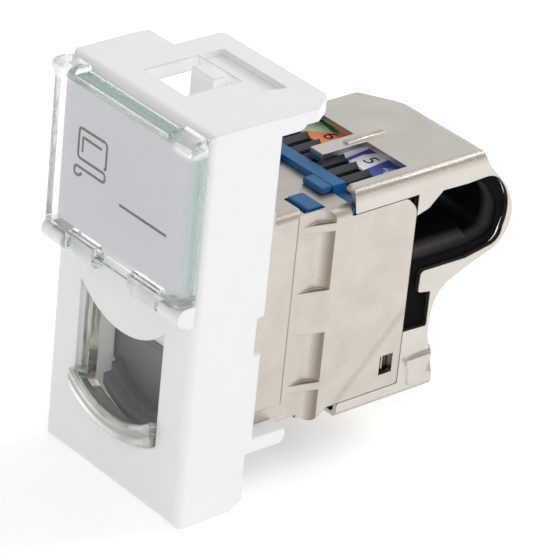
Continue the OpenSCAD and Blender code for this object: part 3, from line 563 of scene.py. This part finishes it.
def numeral(digit, place, size, material):
    """A plain numeral that lies on the wiring label."""
    ink_relief = 0.012
    text = bpy.data.curves.new("numeral", "FONT")
    text.body, text.size, text.extrude = digit, size * MM, ink_relief * MM
    text.align_x, text.align_y = "CENTER", "CENTER"
    mesh = applied(text)
    mesh.transform(Matrix.Translation(Vector(place) * MM))
    finished(f"numeral_{digit}", mesh, material)


# ---------- pieces round the wiring and the rear ----------

def wide_label(material):
    """The right wiring label, which reaches under the hood's tongue."""
    carried_left = 2.4 * MM
    low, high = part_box("pin_label_right")
    start = -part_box("pin_label_left")[1].x - carried_left
    sheet = bmesh.new()
    block(sheet, Vector((start, low.y, low.z)), high)
    piece = finished("wide_label", settled(sheet, "wide_label"), material)
    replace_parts(piece, "pin_label_right")


def frame_steps(material):
    """The two steps of the blue frame that lie in front of its rail, on the shell's roof."""
    inner, outer, front, rail, roof, edge = 2.5, 5.6, 20.5, 22.0, 8.33, 0.1
    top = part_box("wire_frame")[1].z / MM
    steps = bmesh.new()
    for left, right in ((-outer, -inner), (inner, outer)):
        block(steps, Vector((left, front, roof)) * MM, Vector((right, rail, top)) * MM)
    bmesh.ops.bevel(steps, geom=steps.edges[:], offset=edge * MM, segments=2, affect="EDGES",
                    material=-1)
    finished("frame_steps", settled(steps, "frame_steps"), material)


def beyond_loops(inset=0.0):
    """What is cut off the loops to round them: from their long curve to far behind them."""
    far, lift = 60, 0.7
    bends = [(40.1, 11.6), (39.9, 9.9), (40.9, 8.1), (44.2, 4.6), (45.4, 1.3), (44.0, -2.0),
             (39.6, -3.4), (36.6, -4.8), (35.6, -9.0)]
    curve = rounded_path([(y - inset, z + inset * lift) for y, z in bends], ONE_CURVE, steps=10)
    return curve + [(far, curve[-1].y), (far, curve[0].y)]


def loop_opening():
    """The smooth opening of a loop that the cable leaves by."""
    bends = [(34.0, 6.0), (36.0, 6.6), (42.0, 6.9), (44.0, 4.4), (44.5, 1.8), (43.7, -0.9),
             (40.5, -1.9), (36.0, -2.55), (34.0, -1.5)]
    return rounded_path(bends, ONE_CURVE, steps=10)


def trimmed(name, cuts, material):
    """A CAD piece with its sharp loops rounded off by cutting prisms."""
    same_place, smooth_below = 0.0001 * MM, math.radians(24)
    whole = bmesh.new()
    whole.from_mesh(nodes[name].data)
    bmesh.ops.remove_doubles(whole, verts=whole.verts, dist=same_place)
    cutters = [bpy.data.objects.new("cutter", mesh) for mesh in cuts]
    for cutter in cutters:
        bpy.context.scene.collection.objects.link(cutter)
    cut = {"operation": "DIFFERENCE", "solver": "EXACT"}
    mesh = applied(settled(whole, name),
                   *[("BOOLEAN", {**cut, "object": cutter}) for cutter in cutters])
    for cutter in cutters:
        bpy.data.objects.remove(cutter)
    mesh.polygons.foreach_set("use_smooth", [True] * len(mesh.polygons))
    mesh.set_sharp_from_angle(angle=smooth_below)
    mesh = applied(mesh, ("WEIGHTED_NORMAL", {"keep_sharp": True}))
    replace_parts(finished(f"rounded_{name}", mesh, material), name)


def round_off_rear(hood, guide):
    """Rounds the hood's two loops and the guide's edge under them, and clips the left corner."""
    loop_inside, beyond, corner_foot, guide_inset = 8.3, 12, 7.3, 0.35
    clipped = [(-10.6, 35.9), (-3.85, 40.05), (-3.85, 47), (-10.6, 47)]
    corner = prism(clipped, corner_foot, beyond, upright=True)
    openings = (prism(loop_opening(), loop_inside, beyond),
                prism(loop_opening(), -beyond, -loop_inside))
    trimmed("rear_hood", (corner, prism(beyond_loops(), -beyond, beyond), *openings),
            hood)
    trimmed("cable_guide", (corner, prism(beyond_loops(guide_inset), -beyond, beyond)),
            guide)


# ---------- room, lights and camera ----------

def stage_floor():
    """A sheet of white paper just below the part."""
    half_side, gap = 3, 0.02 * MM
    sheet = bmesh.new()
    bmesh.ops.create_grid(sheet, x_segments=1, y_segments=1, size=half_side)
    bmesh.ops.translate(sheet, verts=sheet.verts, vec=(0, 0, cad_box[0].z - gap))
    mesh = settled(sheet, "floor")
    paper = Finish("paper", Roughness=0.9, Specular_IOR_Level=0.1,
                   Emission_Color=(*WHITE, 1), Emission_Strength=0.29)
    paper.set(Base_Color=paper.mix(paper.noise(0.02), (0.90, 0.90, 0.90), (0.92, 0.92, 0.92)))
    mesh.materials.append(paper.material)
    floor = bpy.data.objects.new("floor", mesh)
    bpy.context.scene.collection.objects.link(floor)


def soft_box(name, place, aim, size, power):
    """A square lamp that is aimed at a point."""
    lamp = bpy.data.lights.new(name, "AREA")
    lamp.shape, lamp.size, lamp.energy = "SQUARE", size, power
    box = bpy.data.objects.new(name, lamp)
    box.location = place
    box.rotation_euler = (Vector(aim) - Vector(place)).to_track_quat("-Z", "Y").to_euler()
    bpy.context.scene.collection.objects.link(box)


def studio():
    """An even white sky, a little dimmer at the front, and two soft boxes."""
    sky_strength, dimmer_front = 0.73, 0.2
    world = bpy.data.worlds.new("studio")
    bpy.context.scene.world = world
    world.use_nodes = True
    tree = world.node_tree
    sky = tree.nodes["Background"]
    place = tree.nodes.new("ShaderNodeTexCoord")
    split = tree.nodes.new("ShaderNodeSeparateXYZ")
    slope = tree.nodes.new("ShaderNodeMath")
    slope.operation = "MULTIPLY_ADD"
    slope.inputs[1].default_value = sky_strength * dimmer_front
    slope.inputs[2].default_value = sky_strength
    tree.links.new(place.outputs["Generated"], split.inputs[0])
    tree.links.new(split.outputs["Y"], slope.inputs[0])
    tree.links.new(slope.outputs[0], sky.inputs["Strength"])
    sky.inputs["Color"].default_value = (*WHITE, 1)
    soft_box("key", (0.42, -0.10, 0.50), aim=(0, 0.02, 0), size=0.30, power=0.45)
    soft_box("rear", (0.10, 0.55, 0.35), aim=(0, 0.03, 0), size=0.30, power=1.3)


def camera():
    """A long lens at the front right, well above, that looks back and down at the part."""
    place = Vector((256.052, -213.554, 185.134)) * MM
    right = Vector((0.635719, 0.766606, 0.090422))
    ahead = Vector((-0.647013, 0.593068, -0.479213))
    data = bpy.data.cameras.new("camera")
    data.sensor_width, data.lens = 36, 242.34
    data.clip_start, data.clip_end = 0.01, 20
    eye = bpy.data.objects.new("camera", data)
    turn = Matrix((right, right.cross(ahead), -ahead)).transposed().to_4x4()
    eye.matrix_world = Matrix.Translation(place) @ turn
    bpy.context.scene.collection.objects.link(eye)
    bpy.context.scene.camera = eye


# ---------- dressing ----------

def dress():
    """Gives every solid its finish, then adds the pieces that join or stand for a solid."""
    wear = {
        "front_support": moulded("white_body", (0.84, 0.84, 0.845), 0.36, edge=0.25,
                                 mottle=0.012, glow=0.2),
        "label_card": printed_card(),
        "label_lid": clear_lid(),
        "port_liner": clear_liner(),
        "shutter": moulded("shutter_grey", (0.27, 0.27, 0.28), 0.42, dust=0.5, grain=0.003),
        "jack_shell": cast_nickel(),
        "rear_hood": nickel_sheet(),
        "port_insert": moulded("insert_black", (0.02, 0.02, 0.021), 0.5),
        "circuit_board": board_laminate(),
        "wire_frame": moulded("frame_blue", (0.003, 0.10, 0.27), 0.3, edge=0.12, mottle=0.1,
                              Specular_IOR_Level=0.4),
        "wire_comb": moulded("comb_slate", (0.022, 0.032, 0.042), 0.34, edge=0.12, mottle=0.15),
        "pin_label_left": label_left(),
        "pin_label_right": label_right(),
        "cable_guide": gloss_black(),
        # pieces that come in twos and eights, by the start of their names
        "shutter_spring": plated("spring_steel", (0.72, 0.71, 0.69), 0.2),
        "contact": plated("contact_gold", (0.88, 0.62, 0.24), 0.18),
        "idc_blade": plated("blade_tin", (0.76, 0.74, 0.68), 0.22),
    }
    for name, node in nodes.items():
        kind = name if name in wear else name.rsplit("_", 1)[0]
        node.data.materials.clear()
        node.data.materials.append(wear[kind])
    wide_label(wear["pin_label_right"])
    frame_steps(wear["wire_frame"])
    round_off_rear(wear["rear_hood"], wear["cable_guide"])


def print_pieces():
    """The card's line drawing, and a numeral on each cell of the wiring labels."""
    dark = ink("ink_grey", (0.028, 0.028, 0.034))
    light = ink("ink_white", (0.8, 0.8, 0.82))
    card_print(dark)
    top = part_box("pin_label_left")[1].z / MM
    numeral("3", (-7.35, 30.6, top), 2.6, light)
    numeral("6", (-4.55, 30.35, top), 2.6, dark)
    numeral("5", (1.95, 30.4, top), 2.5, dark)
    numeral("4", (4.55, 30.5, top), 2.5, light)


dress()
print_pieces()
stage_floor()
studio()
camera()
bpy.context.scene.view_settings.view_transform = "Standard"
